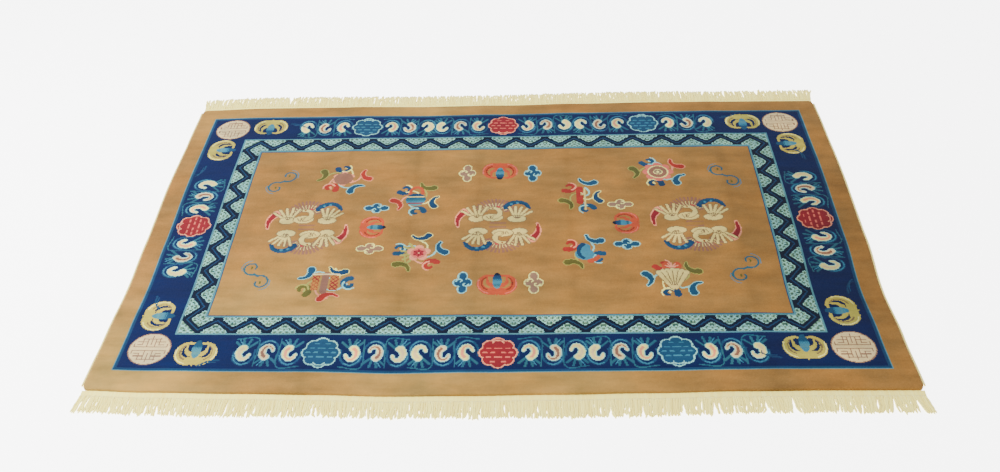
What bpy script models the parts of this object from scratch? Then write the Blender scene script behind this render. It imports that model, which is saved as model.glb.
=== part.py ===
"""Chinese pile rug with a fringed web along each long edge and an overcast cord down each side.

Metres, +Z up. X runs along the rug's length and Y across it, and the rug lies on Z = 0.
Every piece is laid out on a straight rectangle first, and one warp then gives it the uneven
outline of the real rug, so that neighbours keep the same small gap all along.
"""

import math
import random

import bmesh
import bpy
import numpy as np

# Driving dimensions
PILE_LENGTH = 2.73
PILE_WIDTH = 1.69
PILE_HEIGHT = 0.012
CORNER_RADIUS = 0.020
RIM_ROUND = 0.005
PIECE_GAP = 0.00035
WEB_WIDTH = 0.022
WEB_THICKNESS = 0.0035
LOCKS_PER_EDGE = 120
LOCK_GAP = 0.0055
LOCK_TIP_SHARE = 0.80
BINDING_WIDTH = 0.0090
BINDING_HEIGHT = 0.0092

# How finely the pile's top is divided: each column carries three locks
COLUMNS = LOCKS_PER_EDGE // 3
ROWS = 16
CORNER_STEPS = (0.0, 0.4, 1.0)

# The edge's unevenness fades towards the middle of the rug with this power of the distance
OUTLINE_POWER = 3

# Outline: station along the edge, distance that the edge stands out from the straight one
NEAR_EDGE = (
    (-1.365, -0.006), (-1.15, 0.003), (-0.85, 0.008), (-0.60, 0.012), (-0.35, 0.019),
    (-0.10, 0.016), (0.20, 0.010), (0.50, 0.003), (0.80, -0.006), (1.10, -0.010), (1.365, -0.011),
)
FAR_EDGE = (
    (-1.365, -0.004), (-1.10, 0.006), (-0.60, 0.003), (-0.30, 0.000), (0.00, -0.002),
    (0.30, 0.003), (0.65, 0.008), (1.00, 0.001), (1.365, -0.003),
)
LEFT_EDGE = (
    (-0.845, 0.011), (-0.56, 0.004), (-0.35, -0.003), (-0.10, 0.003), (0.29, 0.012),
    (0.60, 0.007), (0.845, 0.004),
)
RIGHT_EDGE = (
    (-0.845, 0.004), (-0.60, -0.004), (-0.38, -0.014), (-0.10, 0.000), (0.35, 0.007),
    (0.65, 0.003), (0.845, -0.001),
)

# Rounded rim of the pile: inset from the outline, share of the pile's height
RIM_RINGS = (
    (0.0015, 0.88),
    (0.0000, 0.60),
    (0.0000, 0.00),
)

# Storage folds across the rug: place along X, height of the ridge, half width
FOLDS = (
    (-0.640, 0.0020, 0.070),
    (-0.350, -0.0016, 0.080),
    (-0.085, 0.0022, 0.075),
    (0.275, 0.0018, 0.080),
    (0.905, 0.0024, 0.070),
)
SWELL_HEIGHT = 0.0008
SWELL_LENGTH = 0.95
SWELL_START = 0.6

# Locks of the fringe: share of the lock's length, share of its height
LOCK_RINGS = (
    (0.30, 0.95),
    (0.65, 1.00),
    (1.00, 0.75),
)
LOCK_HEIGHT = 0.0058

# Locks of the fringe: length along each edge, and how unevenly they hang
NEAR_LOCK_LENGTH = 0.070
FAR_LOCK_LENGTH = 0.078
LENGTH_SPREAD = (-0.005, 0.004)
LENGTH_SWAY = 0.003
LENGTH_SWAY_RATE = 5.0
LEAN_SPREAD = 0.0014
LEAN_SWAY = 0.0025
LEAN_SWAY_RATE = 9.0
LEAN_POWER = 1.4
LOCK_WAVE = 0.0012

# Partings in the near fringe: place along X, half opening at the tips
NEAR_PARTINGS = (
    (-1.120, 0.004), (-0.583, 0.005), (0.606, 0.005), (0.700, 0.008), (0.772, 0.004),
    (0.858, 0.011), (0.946, 0.009), (1.262, 0.012), (1.330, 0.009),
)
FAR_PARTINGS = (
    (-0.977, 0.013), (0.655, 0.004),
)
PARTING_REACH = 0.045

# At the two ends of an edge the locks lean outwards: by how much at the tip, over what reach
END_LEAN = 0.011
END_REACH = 0.060

# Overcast side cord: share of its width out from the pile, share of its height
BINDING_PROFILE = (
    (0.00, 0.00), (0.00, 0.82), (0.28, 1.00), (0.66, 0.90), (0.95, 0.55), (0.90, 0.22), (0.62, 0.00),
)
BINDING_WOBBLE = 0.05
BINDING_WOBBLE_TURN = 2.3

PILE_COLOUR = (0.520, 0.305, 0.120, 1.0)
FRINGE_COLOUR = (0.830, 0.690, 0.410, 1.0)
BINDING_COLOUR = (0.760, 0.610, 0.330, 1.0)
CLOTH_ROUGHNESS = 0.92

# Two lengths that differ by less than this are taken as equal
TINY = 1e-6

HALF_LENGTH = PILE_LENGTH / 2
HALF_WIDTH = PILE_WIDTH / 2


def eased(table, at):
    """Value of a table between its rows, on a cosine curve from each row to the next."""
    stations, values = np.array(table).T
    row = np.clip(np.searchsorted(stations, at) - 1, 0, len(stations) - 2)
    part = np.clip((at - stations[row]) / (stations[row + 1] - stations[row]), 0.0, 1.0)
    ease = (1 - np.cos(np.pi * part)) / 2
    return values[row] + (values[row + 1] - values[row]) * ease


def stations_along(half, count):
    """Even stations from end to end, with the finer ones that round each corner."""
    corner = half - CORNER_RADIUS * np.array(CORNER_STEPS)
    inner = np.linspace(-half, half, count + 1)[1:-1]
    return np.sort(np.concatenate([-corner, inner, corner]))


COLUMN_STATIONS = stations_along(HALF_LENGTH, COLUMNS)
ROW_STATIONS = stations_along(HALF_WIDTH, ROWS)
OUTLINE = {
    "near": (COLUMN_STATIONS, eased(NEAR_EDGE, COLUMN_STATIONS)),
    "far": (COLUMN_STATIONS, eased(FAR_EDGE, COLUMN_STATIONS)),
    "left": (ROW_STATIONS, eased(LEFT_EDGE, ROW_STATIONS)),
    "right": (ROW_STATIONS, eased(RIGHT_EDGE, ROW_STATIONS)),
}


def warp(x, y):
    """Moves a point of the straight layout to the rug's uneven outline."""
    end = "left" if x < 0 else "right"
    edge = "near" if y < 0 else "far"
    pull_x = min(1.0, abs(x) / HALF_LENGTH) ** OUTLINE_POWER
    pull_y = min(1.0, abs(y) / HALF_WIDTH) ** OUTLINE_POWER
    out_x = float(np.interp(y, *OUTLINE[end])) * pull_x
    out_y = float(np.interp(x, *OUTLINE[edge])) * pull_y
    return x + math.copysign(out_x, x * out_x), y + math.copysign(out_y, y * out_y)


def top_height(x, y):
    """Height of the pile's top: its thickness, the storage folds and a slow swell."""
    folds = sum(
        height * math.exp(-(((x - place) / width) ** 2)) for place, height, width in FOLDS
    )
    swell = math.sin(math.tau * x / SWELL_LENGTH + SWELL_START) * math.cos(math.tau * y / SWELL_LENGTH)
    return PILE_HEIGHT + folds + SWELL_HEIGHT * swell


def plan_point(x, y, inset):
    """A grid point on the rounded rectangle that lies inset inside the straight outline."""
    from_end = HALF_LENGTH - abs(x)
    from_edge = HALF_WIDTH - abs(y)
    reach = CORNER_RADIUS - inset
    if from_end < CORNER_RADIUS and from_edge < CORNER_RADIUS:
        shallow, deep = sorted((from_end, from_edge))
        turn = (deep - shallow) / (CORNER_RADIUS - shallow)
        lean = turn if from_edge <= from_end else -turn
        angle = math.radians(45) * (1 + lean)
        radius = reach * (1 - shallow / CORNER_RADIUS)
        along = HALF_LENGTH - CORNER_RADIUS + radius * math.cos(angle)
        across = HALF_WIDTH - CORNER_RADIUS + radius * math.sin(angle)
    else:
        along = abs(x)
        across = abs(y)
        if from_end < CORNER_RADIUS:
            along = HALF_LENGTH - CORNER_RADIUS + reach * (1 - from_end / CORNER_RADIUS)
        if from_edge < CORNER_RADIUS:
            across = HALF_WIDTH - CORNER_RADIUS + reach * (1 - from_edge / CORNER_RADIUS)
    return math.copysign(along, x), math.copysign(across, y)


def cloth_material(name, colour):
    """A matt cloth material."""
    material = bpy.data.materials.new(name)
    material.use_nodes = True
    shader = material.node_tree.nodes["Principled BSDF"]
    shader.inputs["Base Color"].default_value = colour
    shader.inputs["Roughness"].default_value = CLOTH_ROUGHNESS
    shader.inputs["Metallic"].default_value = 0.0
    return material


def add_object(name, bm, colour):
    """Turns a bmesh into a named object with its own material."""
    bmesh.ops.recalc_face_normals(bm, faces=bm.faces)
    mesh = bpy.data.meshes.new(name)
    bm.to_mesh(mesh)
    bm.free()
    mesh.materials.append(cloth_material(name, colour))
    piece = bpy.data.objects.new(name, mesh)
    bpy.context.scene.collection.objects.link(piece)
    return piece


def make_rug_body():
    """The pile body: a grid for its top, extruded rings for its rolled rim, one flat back."""
    bm = bmesh.new()
    bmesh.ops.create_grid(
        bm, x_segments=len(COLUMN_STATIONS) - 1, y_segments=len(ROW_STATIONS) - 1, size=1.0
    )
    layout = {}
    for vertex in bm.verts:
        column = round((vertex.co.x + 1) / 2 * (len(COLUMN_STATIONS) - 1))
        row = round((vertex.co.y + 1) / 2 * (len(ROW_STATIONS) - 1))
        layout[vertex] = (COLUMN_STATIONS[column], ROW_STATIONS[row])

    def place(vertex, inset, share):
        x, y = plan_point(*layout[vertex], inset)
        vertex.co = (*warp(x, y), share * top_height(x, y))

    for vertex in bm.verts:
        place(vertex, RIM_ROUND, 1.0)
    rim = [edge for edge in bm.edges if edge.is_boundary]
    for inset, share in RIM_RINGS:
        ring_above = set(layout)
        grown = bmesh.ops.extrude_edge_only(bm, edges=rim)["geom"]
        for vertex in (item for item in grown if isinstance(item, bmesh.types.BMVert)):
            above = next(
                edge.other_vert(vertex)
                for edge in vertex.link_edges
                if edge.other_vert(vertex) in ring_above
            )
            layout[vertex] = layout[above]
            place(vertex, inset, share)
        rim = [item for item in grown if isinstance(item, bmesh.types.BMEdge) and item.is_boundary]
    bmesh.ops.edgeloop_fill(bm, edges=rim)
    return add_object("rug_body", bm, PILE_COLOUR)


def lock_lean(x, partings, jitter):
    """How far a lock's tip leans along X: out at the ends, away from each parting."""
    ends = math.exp((x - HALF_LENGTH) / END_REACH) - math.exp((-HALF_LENGTH - x) / END_REACH)
    lean = END_LEAN * ends + LEAN_SWAY * math.sin(x * LEAN_SWAY_RATE) + jitter
    for place, opening in partings:
        away = math.copysign(opening, x - place)
        lean += away * math.exp(-abs(x - place) / PARTING_REACH)
    return lean


def make_fringe(name, side, lock_length, partings, seed):
    """A woven web along one long edge, with its locks extruded from the web's outer face."""
    draw = random.Random(seed)
    pitch = PILE_LENGTH / LOCKS_PER_EDGE
    starts = -HALF_LENGTH + pitch * np.arange(LOCKS_PER_EDGE)
    stations = np.sort(np.concatenate([starts + LOCK_GAP / 2, starts + pitch - LOCK_GAP / 2]))
    inner = side * (HALF_WIDTH + PIECE_GAP)
    outer = side * (HALF_WIDTH + PIECE_GAP + WEB_WIDTH)
    bm = bmesh.new()
    bmesh.ops.create_grid(bm, x_segments=len(stations) - 1, y_segments=1, size=1.0)
    for vertex in bm.verts:
        column = round((vertex.co.x + 1) / 2 * (len(stations) - 1))
        across = inner if vertex.co.y * side < 0 else outer
        vertex.co = (stations[column], across, WEB_THICKNESS)
    grown = bmesh.ops.extrude_face_region(bm, geom=list(bm.faces))["geom"]
    for vertex in (item for item in grown if isinstance(item, bmesh.types.BMVert)):
        vertex.co.z = 0.0
    outer_faces = [
        face for face in bm.faces if all(abs(vert.co.y - outer) < TINY for vert in face.verts)
    ]
    outer_faces.sort(key=lambda face: face.calc_center_median().x)
    tips = outer_faces[::2]

    centres = starts + pitch / 2
    leans = [lock_lean(x, partings, draw.uniform(-LEAN_SPREAD, LEAN_SPREAD)) for x in centres]
    lengths = [
        lock_length + draw.uniform(*LENGTH_SPREAD) + LENGTH_SWAY * math.sin(x * LENGTH_SWAY_RATE)
        for x in centres
    ]
    waves = [draw.uniform(-LOCK_WAVE, LOCK_WAVE) for _ in centres]
    root_width = pitch - LOCK_GAP
    for share, rise in LOCK_RINGS:
        tips = bmesh.ops.extrude_discrete_faces(bm, faces=tips)["faces"]
        tips.sort(key=lambda face: face.calc_center_median().x)
        width = root_width * (1 - (1 - LOCK_TIP_SHARE) * share)
        for lock, face in enumerate(tips):
            middle = face.calc_center_median().x
            along = centres[lock] + leans[lock] * share**LEAN_POWER
            along += waves[lock] * math.sin(math.tau * share)
            for vertex in face.verts:
                vertex.co.x = along + math.copysign(width / 2, vertex.co.x - middle)
                vertex.co.y = outer + side * lengths[lock] * share
                vertex.co.z = LOCK_HEIGHT * rise if vertex.co.z > TINY else 0.0
    for vertex in bm.verts:
        vertex.co.x, vertex.co.y = warp(vertex.co.x, vertex.co.y)
    return add_object(name, bm, FRINGE_COLOUR)


def make_side_binding(name, side):
    """The overcast cord down one side: its profile carried along the pile's side stations."""
    stations = [y for y in ROW_STATIONS if abs(y) <= HALF_WIDTH - CORNER_RADIUS + TINY]
    bm = bmesh.new()

    def section(step, vertices):
        girth = 1 + BINDING_WOBBLE * math.sin(BINDING_WOBBLE_TURN * step)
        for vertex, (out, rise) in zip(vertices, BINDING_PROFILE):
            x = side * (HALF_LENGTH + PIECE_GAP + out * girth * BINDING_WIDTH)
            vertex.co = (*warp(x, stations[step]), rise * girth * BINDING_HEIGHT)

    ring = [bm.verts.new() for _ in BINDING_PROFILE]
    section(0, ring)
    end = bm.faces.new(ring)
    for step in range(1, len(stations)):
        grown = bmesh.ops.extrude_face_region(bm, geom=[end])["geom"]
        if step > 1:
            bm.faces.remove(end)
        end = next(item for item in grown if isinstance(item, bmesh.types.BMFace))
        grown_verts = {item for item in grown if isinstance(item, bmesh.types.BMVert)}
        ring = [
            next(
                edge.other_vert(old)
                for edge in old.link_edges
                if edge.other_vert(old) in grown_verts
            )
            for old in ring
        ]
        section(step, ring)
    return add_object(name, bm, BINDING_COLOUR)


def centre_on_origin(pieces):
    """Shifts every mesh so that the whole rug's box has the origin under its centre."""
    points = np.array([vertex.co for piece in pieces for vertex in piece.data.vertices])
    middle = (points.min(0) + points.max(0)) / 2
    for piece in pieces:
        for vertex in piece.data.vertices:
            vertex.co.x -= middle[0]
            vertex.co.y -= middle[1]


def main():
    for item in list(bpy.data.objects):
        bpy.data.objects.remove(item)
    pieces = [
        make_rug_body(),
        make_fringe("fringe_near", -1, NEAR_LOCK_LENGTH, NEAR_PARTINGS, seed=11),
        make_fringe("fringe_far", 1, FAR_LOCK_LENGTH, FAR_PARTINGS, seed=23),
        make_side_binding("side_binding_left", -1),
        make_side_binding("side_binding_right", 1),
    ]
    centre_on_origin(pieces)


main()
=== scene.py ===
"""Looks of a chinese rug: charted wool pile, woven webs, twisted fringe and overcast side cords.

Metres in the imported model's frame, +Z up. The knot chart alone is worked out in millimetres.
"""

import math

import bpy
import numpy as np
from bpy.props import FloatProperty, FloatVectorProperty, IntProperty, PointerProperty
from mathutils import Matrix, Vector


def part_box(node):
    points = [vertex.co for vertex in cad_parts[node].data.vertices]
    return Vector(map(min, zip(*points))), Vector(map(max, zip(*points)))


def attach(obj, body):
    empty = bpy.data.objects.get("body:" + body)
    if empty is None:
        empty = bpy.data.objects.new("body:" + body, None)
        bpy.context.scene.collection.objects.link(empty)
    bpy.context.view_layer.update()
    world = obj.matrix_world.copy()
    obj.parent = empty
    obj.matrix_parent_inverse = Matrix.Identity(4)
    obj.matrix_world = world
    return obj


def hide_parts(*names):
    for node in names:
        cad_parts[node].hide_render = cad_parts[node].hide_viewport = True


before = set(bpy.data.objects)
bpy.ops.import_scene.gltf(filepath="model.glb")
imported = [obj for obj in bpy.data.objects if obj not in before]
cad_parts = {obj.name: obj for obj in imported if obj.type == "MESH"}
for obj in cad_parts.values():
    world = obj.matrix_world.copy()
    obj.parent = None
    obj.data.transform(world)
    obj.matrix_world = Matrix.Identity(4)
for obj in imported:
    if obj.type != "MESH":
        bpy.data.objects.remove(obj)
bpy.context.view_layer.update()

bl_info = {
    "name": "Chinese rug",
    "version": (1, 0, 0),
    "blender": (4, 5, 0),
    "location": "View3D > Sidebar > Rug",
    "description": "Makes the pile, back, webs, fringe and side cords of a fringed pile rug",
    "category": "Add Mesh",
}

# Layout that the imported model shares: one straight rectangle, warped to the real outline
HALF_LENGTH = 1.365
HALF_WIDTH = 0.845
PILE_HEIGHT = 0.012
CORNER_RADIUS = 0.020
WEB_WIDTH = 0.022
WEB_THICKNESS = 0.0035
PIECE_GAP = 0.00035
OUTLINE_POWER = 3

# Outline: station along the edge, distance that the edge stands out from the straight one
NEAR_EDGE = (
    (-1.365, -0.006), (-1.15, 0.003), (-0.85, 0.008), (-0.60, 0.012), (-0.35, 0.019),
    (-0.10, 0.016), (0.20, 0.010), (0.50, 0.003), (0.80, -0.006), (1.10, -0.010), (1.365, -0.011),
)
FAR_EDGE = (
    (-1.365, -0.004), (-1.10, 0.006), (-0.60, 0.003), (-0.30, 0.000), (0.00, -0.002),
    (0.30, 0.003), (0.65, 0.008), (1.00, 0.001), (1.365, -0.003),
)
LEFT_EDGE = (
    (-0.845, 0.011), (-0.56, 0.004), (-0.35, -0.003), (-0.10, 0.003), (0.29, 0.012),
    (0.60, 0.007), (0.845, 0.004),
)
RIGHT_EDGE = (
    (-0.845, 0.004), (-0.60, -0.004), (-0.38, -0.014), (-0.10, 0.000), (0.35, 0.007),
    (0.65, 0.003), (0.845, -0.001),
)

# Storage folds across the rug: place along X, height of the ridge, half width
FOLDS = (
    (-0.640, 0.0020, 0.070),
    (-0.350, -0.0016, 0.080),
    (-0.085, 0.0022, 0.075),
    (0.275, 0.0018, 0.080),
    (0.905, 0.0024, 0.070),
)
SWELL_HEIGHT = 0.0008
SWELL_LENGTH = 0.95
SWELL_START = 0.6

# Rounded rim of the pile: distance in from the edge, share of the pile's height
RIM_PROFILE = ((0.0, 0.0), (0.0, 0.60), (0.0015, 0.88), (0.0050, 1.0))
RIM_LINES = 7

# Painted shade and light on the pile: each fold is painted darker along its ridge, and some patches are
# faded and painted lighter or darker
FOLD_SHADE_TONE = 0.90
FOLD_SHADE_REACH = 0.018
FADED_AND_LIT_WOOL = (173, 143, 73)

# Patches of fading and of painted light and shade: place along X and Y, reach, and how far the ground is
# faded and painted lighter, or every wool painted darker where below zero
FADE_AND_SHADE_PATCHES = (
    (-1.25, -0.80, 0.36, 0.55), (-0.78, -0.42, 0.30, 0.28), (-1.20, 0.82, 0.30, 0.25),
    (-0.35, 0.84, 0.32, 0.42), (-0.30, -0.84, 0.30, 0.38), (0.25, -0.84, 0.30, 0.34),
    (1.38, 0.05, 0.50, -0.30), (1.36, -0.45, 0.30, -0.16), (0.90, 0.20, 0.45, -0.06),
    (0.10, -0.10, 0.30, -0.06), (-0.98, 0.05, 0.50, -0.09), (-0.05, -0.40, 0.30, 0.06),
)

# Partings in the fringe: place along X, half opening at the tips
NEAR_PARTINGS = (
    (-1.120, 0.004), (-0.583, 0.005), (0.606, 0.005), (0.700, 0.008), (0.772, 0.004),
    (0.858, 0.011), (0.946, 0.009), (1.262, 0.012), (1.330, 0.009),
)
FAR_PARTINGS = (
    (-0.977, 0.013), (0.655, 0.004),
)
PARTING_REACH = 0.045
END_REACH = 0.060
END_SPLAY = 0.011

# Overcast side cord: share of its width out from the pile, share of its height
CORD_PROFILE = (
    (0.00, 0.00), (0.00, 0.82), (0.28, 1.00), (0.66, 0.90), (0.95, 0.55), (0.90, 0.22), (0.62, 0.00),
)
CORD_WIDTH = 0.0090
CORD_HEIGHT = 0.0092

# Panels that the pile is made in, and how many knots one cell of the back's coarser chart holds
PANEL_COLUMNS = 4
PANEL_ROWS = 2
BACK_STEP = 4
BACK_LIFT = 0.0006

# Knot chart. Lengths in this part are millimetres from the middle of the pile.

PILE_SIZE = (2730.0, 1690.0)
KNOTS = (800, 496)
PATTERN_SHIFT = 6.0
FIELD_HALF = (1026.0, 495.0)
FIELD_LINE = 12.0
ZIGZAG_WIDTH = 79.0
INNER_LINE = 7.0
NAVY_WIDTH = 157.0
OUTER_LINE = 14.0
ZIGZAG_SWING = 23.5
RIBBON_HALF = 13.0
RIBBON_LINE_HALF = 2.6

# Chart sizes that follow from the bands, in millimetres
NAVY_START = FIELD_LINE + ZIGZAG_WIDTH + INNER_LINE
OUTER_START = NAVY_START + NAVY_WIDTH
BAND_STARTS = (
    (0.0, "blue"), (FIELD_LINE / 3, "aqua"), (FIELD_LINE, "night"), (FIELD_LINE + ZIGZAG_WIDTH, "aqua"),
    (NAVY_START, "navy"), (OUTER_START, "blue"), (OUTER_START + OUTER_LINE / 3, "ocean"),
    (OUTER_START + OUTER_LINE * 2 / 3, "aqua"), (OUTER_START + OUTER_LINE, "tan"),
)
LONG_PERIOD = 123.4
SIDE_PERIOD = 129.5
LAST_LONG_PEAK = LONG_PERIOD * 8.5
LAST_SIDE_PEAK = SIDE_PERIOD * 4
LONG_SLOPE = math.cos(math.atan(4 * ZIGZAG_SWING / LONG_PERIOD))
SIDE_SLOPE = math.cos(math.atan(4 * ZIGZAG_SWING / SIDE_PERIOD))
CORNER_SUM = LAST_LONG_PEAK + FIELD_HALF[1] + FIELD_LINE + ZIGZAG_WIDTH / 2 + ZIGZAG_SWING
CLOUD_CELL = 4.1
MOTIF_REACH = 305.0
SHADE_KNOT = 3.41
SHADE_BREAK = 0.5
LATTICE_PITCH = 20.0
LATTICE_HALF_LINE = 2.4
ARC_STEP = 30.0
PATH_STEPS = 6

# Materials
WOOL_ATTRIBUTE = "wool"
YARN_MAP = "yarn"
PILE_ROUGHNESS = 0.92
PILE_SHEEN = 0.04
SHEEN_ROUGHNESS = 0.5
YARN_ROUGHNESS = 0.85
YARN_SHEEN = 0.4
CLOTH_SPECULAR = 0.1
YARN_FIBRE_SCALE = 900.0
YARN_FIBRE_CONTRAST = 0.12
FIBRE_DETAIL = 3.0
STREAK_STRETCH = (4.0, 15.0, 1.0)
STREAK_DETAIL = 5.0
STREAK_ROUGHNESS = 0.62
STREAK_RANGE = (0.32, 0.68)
STREAK_TONES = (0.80, 1.18)
BLOTCH_SCALE = 5.0
BLOTCH_DETAIL = 4.0
BLOTCH_ROUGHNESS = 0.6
BLOTCH_RANGE = (0.34, 0.66)
BLOTCH_TONES = (0.84, 1.14)
# Painted shade in the grooves between plies: the low part of a yarn's twist is darker
PLY_GROOVE_SHADE_RANGE = (0.0, 0.6)
PLY_GROOVE_SHADE_TONES = (0.9, 1.0)
WARM_TINT = (1.06, 0.98, 0.86)
COOL_TINT = (0.96, 1.02, 1.10)
WARMTH_ROUGHNESS = (PILE_ROUGHNESS - 0.06, PILE_ROUGHNESS + 0.04)
FLOOR_ROUGHNESS = 0.9

# Wool: scale and contrast of its fibres, their relief in metres, tone
PILE_WOOL = (900.0, 0.34, 0.0006, 1.0)
BACK_WOOL = (500.0, 0.5, 0.0003, 0.8)

# Yarn: slant of its plies, their relief in metres, spread of tone between yarns
WEB_YARN = (0.0, 0.0002, 0.02)
STRAND_YARN = (1.0, 0.0004, 0.06)
CORD_YARN = (0.0, 0.0006, 0.04)

# Seeds of the random draws
PILE_SEED = 7
NEAR_SEED = 11
FAR_SEED = 23

# Webs, strands and cords, in metres
WEB_PROFILE = ((0.0, 1.0), (0.08, 1.25), (0.2, 1.0), (0.9, 0.9), (1.0, 0.0))
WEB_RIB = 0.0045
WEB_RIB_HEIGHT = 0.00025
WEB_RIB_LEAN = 9.0
WEB_RIB_FROM = 0.5
WEB_PICKS = 8
WEB_COLUMNS = 700
WEB_ROWS = 8
DRIFT = 0.0025
DRIFT_TURN = 9.0
STRAND_STEPS = 10
STRAND_SIDES = 4
STRAND_STRAY = 0.0030
STRAND_LIFT = 0.0016
STRAND_FLATNESS = 0.5
STRAND_TAPER = ((0.0, 0.9), (0.3, 1.0), (0.88, 1.05), (0.96, 0.8), (1.0, 0.35))
WAVE_TURN = 1.6
RIPPLE_TURN = 14.0
LEAN_POWER = 1.4
ROOT_JITTER = 0.3
LENGTH_SPREAD = 0.0030
LENGTH_SWELL = 0.003
LENGTH_TURN = 5.0
WORN_SHARE = 0.06
WORN_OFF = (0.004, 0.018)
FLOOR_GAP = 0.0002
STRAND_MAP = (0.05, 0.95)
ROOT_TUCK = 0.002
PLY_PITCH = 0.0050
CORD_WOBBLE = 0.012
CORD_WAVES = ((31.0, 0.0), (53.0, 1.0))
CORD_MOST = 1.06
CORD_MAP = (0.02, 0.98)

# Stage, in metres and degrees from the middle of the pile
FLOOR_HALF = 15.0
LAMP_SIZE = (3.0, 3.0)
LAMP_PLACE = (-2.6, -0.4, 2.6)
LAMP_TURN = (0.117, -0.702, 0.0)
CAMERA_PLACE = (0.133, -3.066, 2.549)
CAMERA_TURN = (49.82, 2.65, 2.40)
CAMERA_SHIFT = 0.030
SENSOR_WIDTH = 36.0

# Name of each wool and the colour of its dye, in parts of 255
WOOLS = {
    "tan": (130, 93, 45),
    "navy": (3, 19, 59),
    "night": (4, 14, 34),
    "blue": (15, 47, 77),
    "ocean": (20, 56, 84),
    "sky": (44, 102, 125),
    "teal": (30, 75, 91),
    "aqua": (63, 111, 122),
    "mist": (118, 176, 172),
    "mint": (98, 130, 108),
    "fern": (37, 68, 62),
    "cream": (208, 200, 112),
    "straw": (156, 144, 60),
    "amber": (152, 97, 41),
    "shell": (195, 173, 125),
    "ash": (113, 95, 76),
    "blush": (200, 126, 96),
    "pink": (182, 90, 76),
    "rose": (152, 41, 49),
    "crimson": (112, 25, 33),
    "brick": (131, 37, 30),
    "coral": (155, 61, 35),
    "rust": (102, 34, 20),
    "mauve": (114, 78, 63),
    "dove": (120, 91, 72),
    "olive": (74, 73, 32),
    "leaf": (138, 134, 64),
    "ivory": (184, 167, 98),
    "sand": (102, 84, 59),
}
WOOL_NUMBER = {name: number for number, name in enumerate(WOOLS)}

# Half of the cloud in a zigzag triangle, one letter for a cell, from its base to its point
CLOUD_KEYS = {"m": "mint", "g": "fern", "c": "mist"}
TRIANGLE_CLOUD = (
    "gcmmcgcmmc ",
    "cmggmcmggmc",
    "cmgmccmgmc ",
    "mcccmmccmc ",
    "gmmcggmc   ",
    "mcmggmc    ",
    "cgcmmc     ",
    "mgmcc      ",
    "ggmc       ",
    "mmc        ",
    "cc         ",
)

# Repeat that fills the corners of the zigzag band
CORNER_FILL = ("gcmmcg", "cmggmc", "cmgmcc", "mcccmm", "gmmcgg", "mcmggm")

# Motifs: shape, wool, edge wool, then its numbers. Shapes drawn on one side are mirrored.
# line: width at its start and end, points. shade: points around it, in bands of its wools.
# discs: x, y, half sizes. rays: width, distance at each end, first and last angle, count, middle.
# lattice: left, lower, right and upper side. use: another motif, its place, turn, flip, wools.


def arc(x, y, wide, high, first, last):
    """Points on an ellipse from one angle to another, in degrees, at most one step apart."""
    count = math.ceil(abs(last - first) / ARC_STEP) + 1
    turns = [math.radians(first + (last - first) * step / (count - 1)) for step in range(count)]
    return tuple((x + wide * math.cos(turn), y + high * math.sin(turn)) for turn in turns)


def spiral(x, y, radius, first, last):
    """Points on a spiral, at most one step apart: its radius falls evenly to a third."""
    count = math.ceil(abs(last - first) / ARC_STEP) + 1
    points = []
    for step in range(count):
        share = step / (count - 1)
        turn = math.radians(first + (last - first) * share)
        reach = radius * (1 - share * 2 / 3)
        points.append((x + reach * math.cos(turn), y + reach * math.sin(turn)))
    return tuple(points)


def lobes(count, reach_x, reach_y, half):
    """Equal discs spaced evenly on an oval ring round the middle."""
    turns = [math.radians(90 + 360 * place / count) for place in range(count)]
    return tuple((reach_x * math.cos(turn), reach_y * math.sin(turn), half, half) for turn in turns)


def bat(wing, fold, rim, back):
    """Right half of a bat with its nose up: a hooked wing, a tail and an oval body."""
    return (
        ("line", wing, "", (38, 8), arc(24, 0, 38, 42, -110, 110)),
        ("line", wing, "", (20, 6), ((20, -10), (34, 4), (36, 30))),
        ("line", fold, "", (6, 4), arc(24, 0, 32, 36, -70, 60)),
        ("line", rim, "", (4, 5), arc(24, 0, 46, 52, -80, 20)),
        ("line", wing, "", (30, 6), ((0, -20), (0, -60))),
        ("shade", back, "", arc(0, 14, 17, 42, 0, 330)),
    )


def scroll(x, side, head, heart):
    """One scroll of the border's run, up or down: a crescent under an arched stem, on leaves."""
    return (
        ("line", "ocean", "", (14, 6), arc(x, 4 * side, 37, 50 * side, 0, 200)),
        ("line", "sky", "", (4, 4), arc(x, 4 * side, 37, 50 * side, 10, 120)),
        ("rays", "teal", "", (9, 18, 50, -90 * side - 45, -90 * side + 45, 4, (x, -12 * side))),
        ("line", "sky", "", (8, 3), ((x, -20 * side), (x + 26, -58 * side))),
        ("line", head, "mist", (26, 8), arc(x, 4 * side, 18, 26 * side, -70, 170)),
        ("line", heart, "", (12, 3), arc(x, 4 * side, 18, 26 * side, -60, 150)),
    )


def ribboned(reach_x, reach_y, first, dyes, middle):
    """An object on ribbons: leaves and curls in turn on an oval ring, joined by bent bands."""
    shapes = []
    for place, dye in enumerate(dyes):
        degrees = first + 360 * place / len(dyes)
        turn = math.radians(degrees)
        at = (reach_x * math.cos(turn), reach_y * math.sin(turn))
        shapes.append(("line", dye[1], "", (8, 5), spiral(0, 0, reach_x * 0.9, degrees, degrees - 80)))
        shapes.append(("use", "CURL" if place % 2 else "LEAF", at, degrees + 90, 1, dye))
    return tuple(shapes) + middle


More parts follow.
